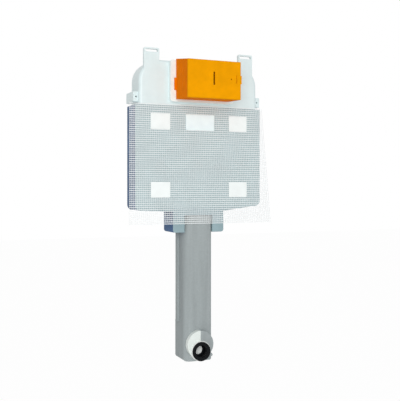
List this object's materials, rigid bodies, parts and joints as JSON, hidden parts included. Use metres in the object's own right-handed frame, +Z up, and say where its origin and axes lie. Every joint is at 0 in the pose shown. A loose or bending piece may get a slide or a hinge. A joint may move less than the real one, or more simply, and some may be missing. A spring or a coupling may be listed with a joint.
{
  "type": "concealed toilet cistern",
  "caption": "Slim in-wall toilet cistern with foam jacket, plaster net, builder's guard over the service window, inner flush and fill valves, and an insulated flush bend with a rubber outlet cuff.",
  "frame": {"origin": "middle of the wide body's back face, on the wall plane", "axes": "+Z up, -Y out of the wall towards the pan, +X to the right as seen from the front"},
  "size_m": [0.471, 0.186, 0.939],
  "materials": {
    "tank_plastic": "blow-moulded, slightly milky",
    "white_plastic": "injection-moulded satin",
    "jacket_foam": "closed-cell foam sheet",
    "net_white": "coated mesh",
    "patch_white": "smooth adhesive film",
    "guard_orange": "moulded satin",
    "sleeve_foam": "moulded bead foam",
    "rubber": "smooth moulded rubber",
    "valve_blue": "moulded satin",
    "valve_grey": "moulded satin",
    "float_yellow": "moulded satin",
    "brass": "turned",
    "steel": "drawn wire and turned pins"
  },
  "bodies": {
    "cistern": {"tank": "tank_plastic", "tank_back": "tank_plastic", "insulation_jacket": "jacket_foam", "plaster_net": "net_white", "net_patches": "patch_white", "label_plate": "patch_white", "window_frame": "white_plastic", "valve_base": "valve_grey", "base_gasket": "rubber", "tail_nut": "white_plastic", "valve_cage": "valve_blue", "lift_bracket": "white_plastic", "lever_pin": "steel", "stop_valve_body": "brass", "inlet_gasket": "rubber", "inlet_nut": "brass", "supply_pipe": "steel", "fill_valve_body": "white_plastic", "fill_bracket": "white_plastic", "fill_diaphragm": "rubber", "fill_valve_cap": "valve_blue", "arm_pin": "steel", "flush_pipe": "white_plastic", "cone_seal": "rubber", "union_nut": "white_plastic", "outlet_cuff": "rubber", "outlet_collar": "white_plastic", "sleeve_left": "sleeve_foam", "sleeve_right": "sleeve_foam"},
    "guard": {"guard_sleeve": "guard_orange"},
    "guard_lid": {"guard_cap": "guard_orange"},
    "flush_riser": {"overflow_tube": "white_plastic", "valve_seal": "rubber", "flush_float": "float_yellow", "tube_yoke": "valve_blue", "full_lift_rod": "steel"},
    "half_riser": {"half_flush_weight": "valve_grey", "half_lift_rod": "steel"},
    "full_lever": {"full_flush_lever": "valve_blue"},
    "half_lever": {"half_flush_lever": "valve_blue"},
    "stop_tap": {"stop_spindle": "brass", "stop_handle": "valve_blue", "handle_screw": "steel"},
    "float_cup": {"fill_float": "float_yellow", "float_rod": "steel"},
    "pilot_arm": {"float_arm": "white_plastic", "arm_pad": "rubber"}
  },
  "joints": [
    {"name": "guard_pull", "type": "slide", "parent": "cistern", "child": "guard", "axis": [0, -1, 0], "range_m": [0, 0.1]},
    {"name": "lid_pull", "type": "slide", "parent": "guard", "child": "guard_lid", "axis": [0, -1, 0], "range_m": [0, 0.05]},
    {"name": "flush_lift", "type": "slide", "parent": "cistern", "child": "flush_riser", "axis": [0, 0, 1], "range_m": [0, 0.0164]},
    {"name": "full_lever_press", "type": "hinge", "parent": "cistern", "child": "full_lever", "pos_m": [-0.004, -0.01672, 0.205], "axis": [-1, 0, 0], "range_deg": [0, 40]},
    {"name": "half_lift", "type": "slide", "parent": "cistern", "child": "half_riser", "axis": [0, 0, 1], "range_m": [0, 0.0164]},
    {"name": "half_lever_press", "type": "hinge", "parent": "cistern", "child": "half_lever", "pos_m": [0.026, -0.01672, 0.205], "axis": [-1, 0, 0], "range_deg": [0, 40]},
    {"name": "stop_turn", "type": "hinge", "parent": "cistern", "child": "stop_tap", "pos_m": [0.052, -0.06, 0.233], "axis": [0, 1, 0], "range_deg": [0, 90]},
    {"name": "float_rise", "type": "slide", "parent": "cistern", "child": "float_cup", "axis": [0, 0, 1], "range_m": [0, 0.012]},
    {"name": "pilot_arm_swing", "type": "hinge", "parent": "cistern", "child": "pilot_arm", "pos_m": [0.127, -0.04, 0.26], "axis": [0, -1, 0], "range_deg": [0, 26.7]}
  ],
  "couplings": [
    {"joint": "full_lever_press", "follows": "flush_lift", "rad_per_m": 42.525},
    {"joint": "half_lever_press", "follows": "half_lift", "rad_per_m": 42.525},
    {"joint": "pilot_arm_swing", "follows": "float_rise", "rad_per_m": 38.8}
  ]
}
